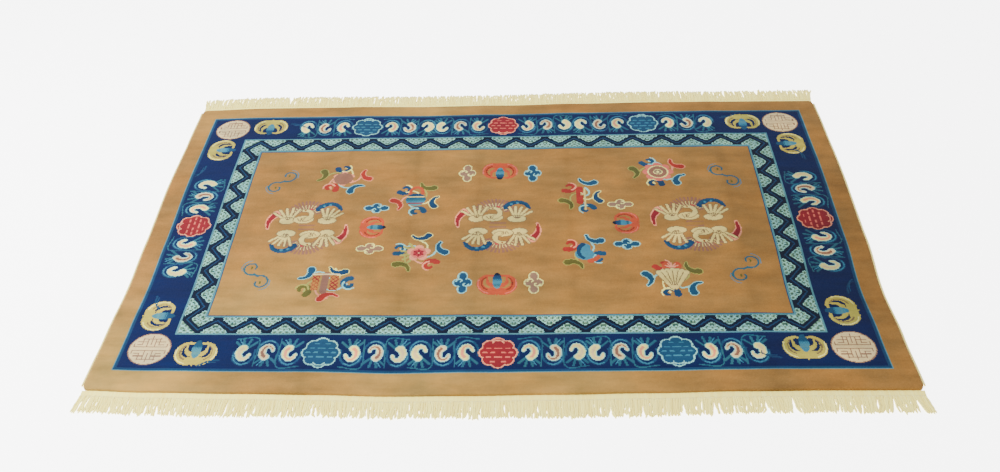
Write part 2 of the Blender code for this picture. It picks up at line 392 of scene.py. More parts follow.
BORDER_BAT = bat("straw", "sand", "cream", ("ocean", "ocean", "sky", "aqua", "sky"))
FIELD_BAT = bat("coral", "rust", "pink", ("night", "blue", "ocean", "sky", "sky", "teal", "aqua"))
UNIT = (
    *scroll(104, 1, "cream", "blush"),
    *scroll(184, -1, "shell", "mauve"),
    *scroll(264, 1, "cream", "shell"),
    ("line", "teal", "", (5, 5), ((66, 62), (144, 62), (144, -62))),
    ("line", "teal", "", (5, 5), ((224, 62), (224, -62), (300, -62))),
    ("discs", "edge", "", lobes(8, 40, 42, 27)),
    ("discs", "body", "", lobes(8, 40, 42, 22) + ((0, 0, 44, 46),)),
    *(("line", "dash", "", (6, 6), ((x, y), (x + 12, y)))
      for x, y in ((0, 20), (26, 20), (12, 0), (38, 0), (0, -20), (26, -20), (12, -40))),
    ("line", "edge", "", (5, 5), arc(0, 46, 18, 10, 0, 90)),
)
CLOUD = (
    ("discs", "edge", "", ((0, 34, 19, 24), (0, -34, 19, 24), (-18, 0, 18, 21), (18, 0, 18, 21))),
    ("discs", "body", "", (
        (0, 34, 14.5, 19.5), (0, -34, 14.5, 19.5), (-18, 0, 13.5, 16.5), (18, 0, 13.5, 16.5), (0, 0, 14, 34),
    )),
    ("line", "edge", "", (6, 5), spiral(-10, 8, 13, 180, -60)),
    ("line", "edge", "", (6, 5), spiral(10, -8, 13, 0, -240)),
)
CORNER_CURL = (
    ("line", "teal", "", (8, 7), ((-8, -6),) + spiral(20, 40, 40, -110, 200)),
    ("line", "teal", "", (8, 7), ((8, 6),) + spiral(-20, -40, 40, 70, 380)),
    ("line", "sky", "", (3, 3), arc(20, 40, 40, 40, -20, 80)),
    ("line", "sky", "", (3, 3), arc(-20, -40, 40, 40, 160, 260)),
    ("discs", "olive", "", ((22, 40, 4, 8), (-22, -40, 4, 8))),
)
CRANE = (
    ("line", "blush", "", (12, 40), arc(-84, 20, 74, 84, 200, 130)),
    ("line", "crimson", "", (8, 26), arc(-84, 20, 74, 84, 195, 135)),
    ("rays", "mauve", "", (9, 40, 90, 20, 160, 15, (-10, 70))),
    ("rays", "ivory", "", (3.4, 40, 66, 30, 150, 11, (-10, 70))),
    ("discs", "rose", "", ((0, 110, 9, 7),)),
    ("line", "blue", "", (30, 16), arc(76, 96, 46, 46, 160, 10)),
    ("line", "ocean", "", (10, 8), arc(76, 96, 50, 50, 150, 20)),
    ("discs", "sky", "", ((52, 130, 6, 6), (76, 136, 6, 6))),
    ("rays", "ivory", "sand", (10, 10, 84, 66, 140, 5, (-78, 34))),
    ("rays", "ivory", "sand", (10, 10, 78, 38, 108, 5, (70, 34))),
    ("discs", "ivory", "sand", ((-84, 40, 30, 20),)),
    ("discs", "ivory", "sand", ((74, 38, 36, 20),)),
    ("discs", "ivory", "sand", ((-20, 46, 40, 22),)),
    ("line", "ivory", "sand", (22, 13), arc(-18, 76, 26, 28, -80, 110)),
    ("rays", "sand", "", (3.4, 8, 26, 60, 120, 4, (-82, 38))),
    ("rays", "sand", "", (3.4, 8, 28, 50, 130, 5, (76, 34))),
    ("rays", "sand", "", (3.4, 10, 28, 60, 120, 3, (-30, 28))),
            ("discs", "rust", "", ((-20, 104, 4, 4),)),
    ("line", "mauve", "", (7, 6), ((-30, 12), (30, 12))),
)
CURL = (
    ("line", "body", "", (26, 12), spiral(0, 0, 30, 0, 270)),
    ("line", "edge", "", (8, 5), arc(-4, 0, 24, 24, 60, 230)),
)
LEAF = (
    ("line", "body", "edge", (28, 8), arc(0, -30, 36, 34, 150, 30)),
)
TENDRIL = (
    ("line", "blue", "", (7, 4), arc(0, -30, 60, 30, 90, 0)),
    ("line", "ocean", "", (4, 4), arc(10, -30, 60, 20, 90, 0)),
)
RED = ("brick", "blush")
BLUE = ("ocean", "mist")
GREEN = ("olive", "leaf")
PALE = ("blue", "cream")
EMBLEM_KNOT = ribboned(88, 72, 20, (RED, PALE, GREEN, RED, BLUE), (
    ("discs", "blush", "", lobes(6, 34, 34, 14)),
    ("discs", "mauve", "", ((0, 0, 40, 40),)),
))
EMBLEM_BASKET = ribboned(72, 84, 60, (GREEN, PALE, RED, BLUE, PALE), (
    ("line", "coral", "", (14, 14), arc(0, 34, 26, 40, 0, 180)),
    ("shade", ("blue", "ocean", "teal", "sky", "aqua"), "", arc(0, -6, 40, 40, 0, 330)),
    ("line", "ivory", "", (5, 5), ((-34, 12), (34, 12))),
    ("line", "crimson", "", (8, 8), ((-28, -28), (28, -28))),
))
EMBLEM_FLOWER = ribboned(82, 88, 90, (PALE, BLUE, GREEN, RED, BLUE), (
    ("rays", "leaf", "", (11, 20, 66, 125, 235, 6, (0, 0))),
    ("discs", "blush", "", lobes(5, 28, 28, 18)),
    ("discs", "pink", "", ((0, 0, 30, 30),)),
    ("discs", "rose", "", ((0, 0, 19, 19),)),
    ("rays", "crimson", "", (7, 0, 19, 90, 390, 6, (0, 0))),
    ("discs", "blush", "", ((0, 0, 4, 4),)),
))
EMBLEM_TUBES = ribboned(92, 66, 140, (BLUE, GREEN, RED, BLUE, PALE), (
    ("lattice", ("crimson", "amber"), "", ((-50, -40, -20, 40), (20, -40, 50, 40))),
    ("line", "mauve", "", (28, 28), ((0, -44), (0, 44))),
    ("line", "shell", "", (6, 6), ((-50, 46), (50, 46))),
))
EMBLEM_DISC = ribboned(88, 78, 40, (RED, BLUE, GREEN, PALE, BLUE), (
    ("discs", "pink", "", lobes(8, 44, 44, 18)),
    ("discs", "cream", "", ((0, 0, 42, 42),)),
    ("discs", "mauve", "", ((0, 0, 37, 37),)),
    ("discs", "cream", "", ((0, 0, 18, 18),)),
    ("discs", "ash", "", ((0, 0, 15, 15),)),
    ("discs", "cream", "", ((0, 0, 6, 6),)),
))
EMBLEM_FLUTE = ribboned(60, 90, 70, (BLUE, RED, GREEN, BLUE, PALE), (
    ("line", "brick", "", (28, 28), ((-6, -42), (-6, 44))),
    ("line", "ivory", "", (8, 6), ((14, 44), (14, -90))),
    ("rays", "ivory", "", (4, 0, 14, 150, 210, 3, (12, 10))),
))
EMBLEM_GOURD = ribboned(62, 76, 60, (BLUE, RED, GREEN, BLUE), (
    ("line", "coral", "", (24, 16), arc(0, 0, 58, 58, -70, -30)),
    ("discs", "sky", "", ((0, -16, 36, 32), (0, 22, 24, 22))),
    ("line", "blue", "", (20, 12), arc(4, 0, 26, 40, 110, 250)),
))
EMBLEM_FAN = ribboned(84, 80, 40, (GREEN, RED, BLUE, PALE, BLUE), (
    ("discs", "coral", "", ((-20, 66, 16, 22), (20, 66, 16, 22))),
    ("rays", "blush", "", (5, 0, 26, 30, 150, 5, (0, 56))),
    ("rays", "ivory", "sand", (20, 10, 100, 60, 120, 7, (0, -56))),
    ("rays", "sand", "", (3.4, 20, 96, 66, 114, 5, (0, -56))),
))
FRET_STROKES = (
    ((0, 8), (57, 8)), ((57, 8), (57, 22)), ((0, 20), (0, 60)), ((14, 8), (14, 46)),
    ((29, 20), (29, 52)), ((14, 33), (48, 33)), ((29, 20), (46, 20)), ((0, 48), (30, 48)),
)
ROUNDEL = (
    ("discs", "dove", "", ((0, 0, 74, 74),)),
    ("discs", "shell", "", ((0, 0, 70, 70),)),
    *(("line", "dove", "", (4, 4), tuple((x, y * side) for x, y in stroke_points))
      for stroke_points in FRET_STROKES for side in (1, -1)),
)
MOTIFS = {
    "BORDER_BAT": BORDER_BAT, "FIELD_BAT": FIELD_BAT, "CLOUD": CLOUD, "CORNER_CURL": CORNER_CURL,
    "CRANE": CRANE, "CURL": CURL, "LEAF": LEAF, "TENDRIL": TENDRIL, "EMBLEM_KNOT": EMBLEM_KNOT,
    "EMBLEM_BASKET": EMBLEM_BASKET, "EMBLEM_FLOWER": EMBLEM_FLOWER, "EMBLEM_TUBES": EMBLEM_TUBES,
    "EMBLEM_DISC": EMBLEM_DISC, "EMBLEM_FLUTE": EMBLEM_FLUTE, "EMBLEM_GOURD": EMBLEM_GOURD,
    "EMBLEM_FAN": EMBLEM_FAN, "UNIT": UNIT, "ROUNDEL": ROUNDEL,
}
MIRRORED = {"BORDER_BAT", "FIELD_BAT", "UNIT", "ROUNDEL"}

# Where each motif lies on the field: name, x, y, turn in degrees, flip, body and edge
BLUE_CLOUD = ("ocean", "mist")
MAUVE_CLOUD = ("dove", "cream")
FIELD_PLACES = (
    *(("CRANE", x, y, turn, 1, ()) for x, y in ((-753, -4), (-6, -2), (751, 0)) for turn in (0, 180)),
    ("FIELD_BAT", -3, 344, 180, 1, ()),
    ("FIELD_BAT", -1, -332, 0, 1, ()),
    ("FIELD_BAT", -491, -7, -90, 1.13, ()),
    ("FIELD_BAT", 486, 8, 90, 1.13, ()),
    ("CLOUD", -137, 334, 0, 1, MAUVE_CLOUD),
    ("CLOUD", 131, 332, 0, 1, BLUE_CLOUD),
    ("CLOUD", -127, -328, 0, 1, BLUE_CLOUD),
    ("CLOUD", 132, -328, 0, 1, MAUVE_CLOUD),
    ("CLOUD", -490, 112, 90, 1.13, BLUE_CLOUD),
    ("CLOUD", -490, -134, 90, 1.08, MAUVE_CLOUD),
    ("CLOUD", 474, 121, 90, 1.13, MAUVE_CLOUD),
    ("CLOUD", 483, -118, 90, 1.13, BLUE_CLOUD),
    ("CORNER_CURL", -900, 292, 0, 1, ()),
    ("CORNER_CURL", -900, -280, 180, -1, ()),
    ("CORNER_CURL", 902, 300, 0, -1, ()),
    ("CORNER_CURL", 902, -260, 180, 1, ()),
    ("EMBLEM_KNOT", -648, 306, 0, 1, ()),
    ("EMBLEM_BASKET", -338, 172, 0, 1, ()),
    ("EMBLEM_FLOWER", -301, -160, 0, 1, ()),
    ("EMBLEM_TUBES", -634, -326, 0, 1, ()),
    ("EMBLEM_DISC", 640, 330, 0, 1, ()),
    ("EMBLEM_FLUTE", 324, 178, 0, 1, ()),
    ("EMBLEM_GOURD", 322, -160, 0, 1, ()),
    ("EMBLEM_FAN", 636, -310, 0, 1, ()),
)
# Border motifs, with the same columns
BORDER_PLACES = (
    ("ROUNDEL", -1192, 678, 0, 1, ()),
    ("ROUNDEL", 1192, 678, 0, 1, ()),
    ("ROUNDEL", -1193, -655, 0, 1, ()),
    ("ROUNDEL", 1193, -655, 0, 1, ()),
    ("BORDER_BAT", -1026, 688, 180, 1, ()),
    ("BORDER_BAT", 1035, 680, 180, 1, ()),
    ("BORDER_BAT", -1026, -669, 0, 1, ()),
    ("BORDER_BAT", 1033, -651, 0, 1, ()),
    ("BORDER_BAT", -1203, 523, -90, 1, ()),
    ("BORDER_BAT", -1203, -494, -90, 1, ()),
    ("BORDER_BAT", 1203, 520, 90, 1, ()),
    ("BORDER_BAT", 1195, -480, 90, 1, ()),
    ("TENDRIL", -938, 716, 0, 1, ()),
    ("TENDRIL", 944, 716, 180, -1, ()),
    ("TENDRIL", -938, -704, 0, -1, ()),
    ("TENDRIL", 944, -704, 180, 1, ()),
    ("TENDRIL", -1244, 408, -90, 1, ()),
    ("TENDRIL", -1244, -392, 90, -1, ()),
    ("TENDRIL", 1244, 408, -90, -1, ()),
    ("TENDRIL", 1244, -392, 90, 1, ()),
)

# Medallions with the scroll run on each side of them: the third number is the turn in degrees
RED_UNIT = ("crimson", "blush", "pink")
BLUE_UNIT = ("ocean", "mist", "sky")
UNIT_PLACES = (
    ("UNIT", 10, -669, 0, 1, RED_UNIT),
    ("UNIT", 4, 681, 180, 1, RED_UNIT),
    ("UNIT", -594, -669, 180, 1, BLUE_UNIT),
    ("UNIT", 609, -669, 180, 1, BLUE_UNIT),
    ("UNIT", -594, 681, 0, 1, BLUE_UNIT),
    ("UNIT", 609, 681, 0, 1, BLUE_UNIT),
    ("UNIT", -1205, 11, 90, 1, RED_UNIT),
    ("UNIT", 1205, 22, -90, 1, RED_UNIT),
)


def knot_grid():
    """Middle of every knot: x along the rows and y up the columns."""
    x = (np.arange(KNOTS[0]) + 0.5) / KNOTS[0] * PILE_SIZE[0] - PILE_SIZE[0] / 2
    y = (np.arange(KNOTS[1]) + 0.5) / KNOTS[1] * PILE_SIZE[1] - PILE_SIZE[1] / 2
    return np.meshgrid(x, y)


def smooth_path(points, closed):
    """Catmull-Rom curve through the points.

    From b to c, with a and d beyond them, a point at the share t of the way lies at
    (2b + (c - a) t + (2a - 5b + 4c - d) t^2 + (3b - a - 3c + d) t^3) / 2.
    """
    p = np.array(points, float)
    if closed:
        p = np.concatenate([p[-1:], p, p[:2]])
    else:
        p = np.concatenate([2 * p[:1] - p[1:2], p, 2 * p[-1:] - p[-2:-1]])
    t = np.arange(PATH_STEPS)[:, None, None] / PATH_STEPS
    a, b, c, d = p[:-3], p[1:-2], p[2:-1], p[3:]
    curve = 0.5 * (2 * b + (c - a) * t + (2 * a - 5 * b + 4 * c - d) * t**2 + (3 * b - a - 3 * c + d) * t**3)
    curve = curve.transpose(1, 0, 2).reshape(-1, 2)
    return curve if closed else np.concatenate([curve, p[-2:-1]])


def from_path(u, v, path):
    """Distance from each knot to a run of straight steps, and how far along the nearest is."""
    start = path[:-1]
    step = path[1:] - start
    length = np.maximum((step**2).sum(1), 1e-9)
    du = u[..., None] - start[:, 0]
    dv = v[..., None] - start[:, 1]
    along = np.clip((du * step[:, 0] + dv * step[:, 1]) / length, 0, 1)
    away = np.hypot(du - along * step[:, 0], dv - along * step[:, 1])
    nearest = away.argmin(-1)
    share = (nearest + np.take_along_axis(along, nearest[..., None], -1)[..., 0]) / len(step)
    return away.min(-1), share


def inside(u, v, path):
    """True where a knot lies inside a closed curve: its crossings to the right are odd."""
    x0, y0 = path.T
    x1, y1 = np.roll(path, -1, 0).T
    crosses = (y0 > v[..., None]) != (y1 > v[..., None])
    rise = np.where(y1 == y0, 1e-9, y1 - y0)
    return (crosses & (u[..., None] < x0 + (v[..., None] - y0) * (x1 - x0) / rise)).sum(-1) % 2 == 1


def grown(mask):
    """The mask with one more knot on every side."""
    wide = np.pad(mask, 1)
    return wide[1:-1, 1:-1] | wide[:-2, 1:-1] | wide[2:, 1:-1] | wide[1:-1, :-2] | wide[1:-1, 2:]


def stroke(u, v, path, first, last):
    """The knots on a stroke along a path, whose width runs from first to last."""
    low = path.min(0) - max(first, last)
    high = path.max(0) + max(first, last)
    near = (u > low[0]) & (u < high[0]) & (v > low[1]) & (v < high[1])
    away, share = from_path(u[near], v[near], path)
    mask = np.zeros(u.shape, bool)
    mask[near] = away <= (first + (last - first) * share) / 2
    return mask


def filled(u, v, path):
    """The knots inside a closed curve."""
    low = path.min(0)
    high = path.max(0)
    near = (u > low[0]) & (u < high[0]) & (v > low[1]) & (v < high[1])
    mask = np.zeros(u.shape, bool)
    mask[near] = inside(u[near], v[near], path)
    return mask


def shape_mask(shape, u, v, numbers):
    """The knots that a shape covers."""
    if shape == "line":
        (first, last), points = numbers
        return stroke(u, v, smooth_path(points, False), first, last)
    if shape == "shade":
        return filled(u, v, smooth_path(numbers, True))
    mask = np.zeros(u.shape, bool)
    if shape == "discs":
        for x, y, half_x, half_y in numbers:
            mask |= ((u - x) / half_x) ** 2 + ((v - y) / half_y) ** 2 <= 1
    if shape == "rays":
        width, inner, outer, first, last, count, (x, y) = numbers
        for turn in np.radians(np.linspace(first, last, count)):
            ray = np.outer((inner, outer), (np.cos(turn), np.sin(turn))) + (x, y)
            mask |= stroke(u, v, ray, width, width)
    if shape == "lattice":
        for left, low, right, high in numbers:
            mask |= (u > left) & (u < right) & (v > low) & (v < high)
    return mask


def paint_rows(patch, u, v, motif, dyes):
    """Paints a motif's shapes in order on one patch of the chart."""
    for shape, wool, edge, *numbers in motif:
        if shape == "use":
            place, turn, flip, inner_dyes = edge, *numbers
            paint_rows(patch, *turned(u, v, place, turn, flip), MOTIFS[wool], inner_dyes)
            continue
        own = dict(zip(("body", "edge", "dash"), dyes))
        if isinstance(wool, str):
            wool = own.get(wool, wool)
        edge = own.get(edge, edge)
        mask = shape_mask(shape, u, v, numbers[0] if len(numbers) == 1 else numbers)
        if edge:
            patch[grown(mask) & ~mask] = WOOL_NUMBER[edge]
        if shape == "shade" and mask.any():
            high, low = v[mask].max(), v[mask].min()
            broken = ((u // SHADE_KNOT + v // SHADE_KNOT) % 2 - 0.5) * SHADE_BREAK
            band = (high - v) / (high - low + 1) * len(wool) + broken
            band = band.astype(int).clip(0, len(wool) - 1)
            patch[mask] = np.array([WOOL_NUMBER[name] for name in wool])[band][mask]
        elif shape == "lattice":
            rising, falling = (
                np.abs(way % LATTICE_PITCH - LATTICE_PITCH / 2) < LATTICE_HALF_LINE for way in (u + v, u - v)
            )
            cross = rising | falling
            patch[mask & ~cross] = WOOL_NUMBER[wool[1]]
            patch[mask & cross] = WOOL_NUMBER[wool[0]]
        else:
            patch[mask] = WOOL_NUMBER[wool]


def turned(u, v, place, turn, flip):
    """Coordinates on a motif at a place, turned anticlockwise and flipped.

    A flip of more than 1 or less than -1 draws the motif that many times smaller.
    """
    angle = math.radians(turn)
    along = (u - place[0]) * math.cos(angle) + (v - place[1]) * math.sin(angle)
    up = (v - place[1]) * math.cos(angle) - (u - place[0]) * math.sin(angle)
    return along * flip, up * abs(flip)


def paint_motif(chart, x, y, name, place, turn, flip, dyes):
    """Paints one motif on the knots within its reach."""
    columns = np.abs(x[0] - place[0]) <= MOTIF_REACH
    rows = np.abs(y[:, 0] - place[1]) <= MOTIF_REACH
    part = np.ix_(rows, columns)
    u, v = turned(x[part], y[part], place, turn, flip)
    patch = chart[part]
    paint_rows(patch, np.abs(u) if name in MIRRORED else u, v, MOTIFS[name], dyes)
    chart[part] = patch


def letters(rows, keys):
    """A chart of letters as an array of wool numbers, with -1 where a letter has no wool."""
    numbers = {letter: WOOL_NUMBER[wool] for letter, wool in keys.items()}
    return np.array([[numbers.get(letter, -1) for letter in row] for row in rows])


def paint_letters(chart, mask, cells, row, column):
    """Paints a chart of letters: each masked knot takes the wool of the cell that it lies in."""
    inside_chart = mask & (row >= 0) & (row < cells.shape[0]) & (column >= 0) & (column < cells.shape[1])
    wool = cells[np.where(inside_chart, row, 0), np.where(inside_chart, column, 0)]
    hit = inside_chart & (wool >= 0)
    chart[hit] = wool[hit]


def paint_bands(chart, x, y):
    """The plain ground and the border's bands, by the larger distance out from the field."""
    out = np.maximum(np.abs(x) - FIELD_HALF[0], np.abs(y - PATTERN_SHIFT) - FIELD_HALF[1])
    for start, wool in BAND_STARTS:
        chart[out >= start] = WOOL_NUMBER[wool]
    return out


def paint_zigzag(chart, x, y, out):
    """The zigzag ribbon: a triangle wave on each side, joined by a diagonal at each corner."""
    ax = np.abs(x)
    ay = np.abs(y - PATTERN_SHIFT)
    band = (out >= FIELD_LINE) & (out < FIELD_LINE + ZIGZAG_WIDTH)
    middle = FIELD_LINE + ZIGZAG_WIDTH / 2
    long_out = ay - FIELD_HALF[1] - middle
    side_out = ax - FIELD_HALF[0] - middle
    wave = np.abs((ax / LONG_PERIOD) % 1 - 0.5) * 4 - 1
    side_wave = np.abs(((ay / SIDE_PERIOD) + 0.5) % 1 - 0.5) * 4 - 1
    long_away = np.abs(long_out + ZIGZAG_SWING * wave) * LONG_SLOPE
    side_away = np.abs(side_out + ZIGZAG_SWING * side_wave) * SIDE_SLOPE
    corner_away = np.abs(ax + ay - CORNER_SUM) / math.sqrt(2)
    on_side = ax - FIELD_HALF[0] > ay - FIELD_HALF[1]
    corner = (ax > LAST_LONG_PEAK) & (ay > LAST_SIDE_PEAK)
    away = np.where(corner, corner_away, np.where(on_side, side_away, long_away))

    cloud = letters(TRIANGLE_CLOUD, CLOUD_KEYS)
    for along, period, phase, outward in (
        (ax, LONG_PERIOD, 0.0, long_out), (ay, SIDE_PERIOD, 0.5, side_out),
    ):
        here = band & ~corner & (on_side if outward is side_out else ~on_side)
        for shift, height in ((0.0, ZIGZAG_WIDTH / 2 - outward), (0.5, ZIGZAG_WIDTH / 2 + outward)):
            from_peak = np.abs((along / period - phase - shift + 0.5) % 1 - 0.5) * period
            row = np.floor(height / CLOUD_CELL).astype(int)
            column = np.floor(from_peak / CLOUD_CELL).astype(int)
            paint_letters(chart, here, cloud, row, column)
    fill = letters(CORNER_FILL, CLOUD_KEYS)
    row = np.floor(ay / CLOUD_CELL).astype(int) % fill.shape[0]
    column = np.floor(ax / CLOUD_CELL).astype(int) % fill.shape[1]
    paint_letters(chart, band & corner, fill, row, column)
    for reach, wool in ((RIBBON_HALF, "night"), (RIBBON_LINE_HALF, "blue")):
        chart[band & (away < reach)] = WOOL_NUMBER[wool]


def knot_chart():
    """Wool number of every knot, row by row from the near edge."""
    x, y = knot_grid()
    chart = np.full(x.shape, WOOL_NUMBER["tan"])
    out = paint_bands(chart, x, y)
    paint_zigzag(chart, x, y, out)
    for name, place_x, place_y, turn, flip, dyes in UNIT_PLACES + BORDER_PLACES + FIELD_PLACES:
        paint_motif(chart, x, y, name, (place_x, place_y), turn, flip, dyes)
    return chart


# Shape of the rug


def eased(table, at):
    """Value of a table between its rows, on a cosine curve from each row to the next."""
    stations, values = np.array(table).T
    row = np.clip(np.searchsorted(stations, at) - 1, 0, len(stations) - 2)
    part = np.clip((at - stations[row]) / (stations[row + 1] - stations[row]), 0.0, 1.0)
    return values[row] + (values[row + 1] - values[row]) * (1 - np.cos(np.pi * part)) / 2


def straight_centre():
    """Where the middle of the straight layout lies: the pile's box, less its outline's lean."""
    low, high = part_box("rug_body")
    reach = [
        max(value for _, value in edge) for edge in (LEFT_EDGE, RIGHT_EDGE, NEAR_EDGE, FAR_EDGE)
    ]
    return np.array([
        (low.x + high.x) / 2 - (reach[1] - reach[0]) / 2,
        (low.y + high.y) / 2 - (reach[3] - reach[2]) / 2,
    ])


CENTRE = straight_centre()


def warp(x, y):
    """Moves points of the straight layout to the rug's uneven outline, in the model's frame.

    Each point moves out by its edge's offset times the third power of its share of the way.
    """
    out_x = np.where(x < 0, -eased(LEFT_EDGE, y), eased(RIGHT_EDGE, y))
    out_y = np.where(y < 0, -eased(NEAR_EDGE, x), eased(FAR_EDGE, x))
    pull_x = np.minimum(1.0, np.abs(x) / HALF_LENGTH) ** OUTLINE_POWER
    pull_y = np.minimum(1.0, np.abs(y) / HALF_WIDTH) ** OUTLINE_POWER
    return x + out_x * pull_x + CENTRE[0], y + out_y * pull_y + CENTRE[1]


def top_height(x, y):
    """Height of the pile's top: its thickness, bell-shaped storage folds and a slow swell."""
    folds = sum(height * np.exp(-(((x - place) / width) ** 2)) for place, height, width in FOLDS)
    swell = np.sin(math.tau * x / SWELL_LENGTH + SWELL_START) * np.cos(math.tau * y / SWELL_LENGTH)
    return PILE_HEIGHT + folds + SWELL_HEIGHT * swell


def rounded_corner(x, y):
    """Turns the grid's square corners round: lines near a corner become arcs about its centre."""
    from_end = HALF_LENGTH - np.abs(x)
    from_edge = HALF_WIDTH - np.abs(y)
    shallow = np.minimum(from_end, from_edge)
    deep = np.maximum(from_end, from_edge)
    turn = (deep - shallow) / np.maximum(CORNER_RADIUS - shallow, 1e-9)
    angle = np.radians(45) * (1 + np.where(from_edge <= from_end, turn, -turn))
    radius = CORNER_RADIUS - shallow
    near_corner = deep < CORNER_RADIUS
    along = np.where(near_corner, HALF_LENGTH - CORNER_RADIUS + radius * np.cos(angle), np.abs(x))
    across = np.where(near_corner, HALF_WIDTH - CORNER_RADIUS + radius * np.sin(angle), np.abs(y))
    return np.copysign(along, x), np.copysign(across, y)


def knot_lines(half, count):
    """Grid lines between knots, with the outer ones drawn together round the rolled rim."""
    lines = np.linspace(-half, half, count + 1)
    share = np.ones(count + 1)
    distances, shares = np.array(RIM_PROFILE).T
    rim = len(distances)
    evened = np.linspace(distances[-1], lines[RIM_LINES] + half, RIM_LINES - rim + 2)[1:-1]
    inset = np.concatenate([distances, evened])
    lines[:RIM_LINES] = -half + inset
    lines[-RIM_LINES:] = half - inset[::-1]
    share[:rim] = shares
    share[-rim:] = shares[::-1]
    return lines, share


def grid_faces(rows, columns, closed=False):
    """Quads between the points of a grid, numbered row by row; closed joins its last column."""
    row, column = np.mgrid[0:rows - 1, 0:columns if closed else columns - 1]
    first = row * columns + column
    second = row * columns + (column + 1) % columns
    return np.stack([first, second, second + columns, first + columns], -1).reshape(-1, 4)


def add_piece(name, points, faces, material, slot, *nodes):
    """Puts points and quads into a mesh object that rides on the rug and stands for its nodes."""
    mesh = bpy.data.meshes.new(name)
    mesh.vertices.add(len(points))
    mesh.vertices.foreach_set("co", np.ascontiguousarray(points, np.float32).ravel())
    mesh.loops.add(faces.size)
    mesh.loops.foreach_set("vertex_index", np.ascontiguousarray(faces, np.int32).ravel())
    mesh.polygons.add(len(faces))
    mesh.polygons.foreach_set("loop_start", np.arange(0, faces.size, 4, dtype=np.int32))
    mesh.update(calc_edges=True)
    mesh.shade_smooth()
    mesh.materials.append(material)
    piece = bpy.data.objects.new(name, mesh)
    bpy.context.scene.collection.objects.link(piece)
    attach(piece, "root")
    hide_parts(*nodes)
    return piece


def dye(piece, colours):
    """Gives every face of a piece its own colour, in the attribute that the pile reads."""
    attribute = piece.data.color_attributes.new(WOOL_ATTRIBUTE, "FLOAT_COLOR", "CORNER")
    whole = np.concatenate([colours, np.ones((len(colours), 1))], 1)
    attribute.data.foreach_set("color", np.repeat(whole, 4, axis=0).astype(np.float32).ravel())


def set_yarn_map(piece, uv):
    """Lays a piece's yarn map: across the yarn and along it, for each corner of each face."""
    layer = piece.data.uv_layers.new(name=YARN_MAP)
    layer.data.foreach_set("uv", np.ascontiguousarray(uv, np.float32).ravel())


def linear(colour):
    """A colour in parts of 255 as the linear one that shaders take."""
    share = np.array(colour, float) / 255
    return np.where(share <= 0.04045, share / 12.92, ((share + 0.055) / 1.055) ** 2.4)


# Materials


def add_node(tree, kind, inputs=(), **settings):
    """Adds a shader node, with its own settings and a value or a link for each named input."""
    made = tree.nodes.new("ShaderNode" + kind)
    for name, value in settings.items():
        setattr(made, name, value)
    for socket, value in inputs:
        if isinstance(value, bpy.types.NodeSocket):
            tree.links.new(value, made.inputs[socket])
        else:
            made.inputs[socket].default_value = value
    return made


def maths(tree, operation, first, second=0.0):
    """A math node's result for one or two numbers or sockets."""
    return add_node(tree, "Math", ((0, first), (1, second)), operation=operation).outputs[0]


def stretch(tree, socket, low, high, to_low, to_high):
    """Carries a value from one range to another, held at the ends."""
    inputs = (
        ("Value", socket), ("From Min", low), ("From Max", high), ("To Min", to_low), ("To Max", to_high),
    )
    return add_node(tree, "MapRange", inputs).outputs["Result"]


def new_group(name, inputs, outputs):
    """An empty shader node group with named sockets."""
    tree = bpy.data.node_groups.new(name, "ShaderNodeTree")
    for socket, kind in inputs:
        tree.interface.new_socket(name=socket, in_out="INPUT", socket_type="NodeSocket" + kind)
    for socket, kind in outputs:
        tree.interface.new_socket(name=socket, in_out="OUTPUT", socket_type="NodeSocket" + kind)
    return tree, tree.nodes.new("NodeGroupInput").outputs, tree.nodes.new("NodeGroupOutput").inputs


def make_fibre_group():
    """Fibre: fine noise at the yarn's scale, as a tone for the colour and a height for the bump."""
    tree, given, result = new_group(
        "fibre", (("Vector", "Vector"), ("Scale", "Float"), ("Contrast", "Float")),
        (("Tone", "Float"), ("Height", "Float")),
    )
    fine = add_node(
        tree, "TexNoise",
        (("Vector", given["Vector"]), ("Scale", given["Scale"]), ("Detail", FIBRE_DETAIL)),
    )
    swing = maths(tree, "MULTIPLY", maths(tree, "SUBTRACT", fine.outputs["Fac"], 0.5), given["Contrast"])
    tree.links.new(maths(tree, "ADD", swing, 1.0), result["Tone"])
    tree.links.new(fine.outputs["Fac"], result["Height"])
    return tree


def make_abrash_group():
    """Abrash: streaks along the wefts and soft blotches."""
    tree, given, result = new_group(
        "abrash", (("Vector", "Vector"),), (("Tone", "Float"), ("Warmth", "Float"))
    )
    streak_space = add_node(
        tree, "Mapping", (("Vector", given["Vector"]), ("Scale", STREAK_STRETCH))
    ).outputs["Vector"]
    streaks = add_node(
        tree, "TexNoise",
        (("Vector", streak_space), ("Scale", 1.0), ("Detail", STREAK_DETAIL),
         ("Roughness", STREAK_ROUGHNESS)),
    ).outputs["Fac"]
    blotches = add_node(
        tree, "TexNoise",
        (("Vector", given["Vector"]), ("Scale", BLOTCH_SCALE), ("Detail", BLOTCH_DETAIL),
         ("Roughness", BLOTCH_ROUGHNESS)),
    ).outputs["Fac"]
    tone = stretch(tree, streaks, *STREAK_RANGE, *STREAK_TONES)
    tone = maths(tree, "MULTIPLY", tone, stretch(tree, blotches, *BLOTCH_RANGE, *BLOTCH_TONES))
    tree.links.new(tone, result["Tone"])
    tree.links.new(stretch(tree, blotches, *BLOTCH_RANGE, 0.0, 1.0), result["Warmth"])
    return tree


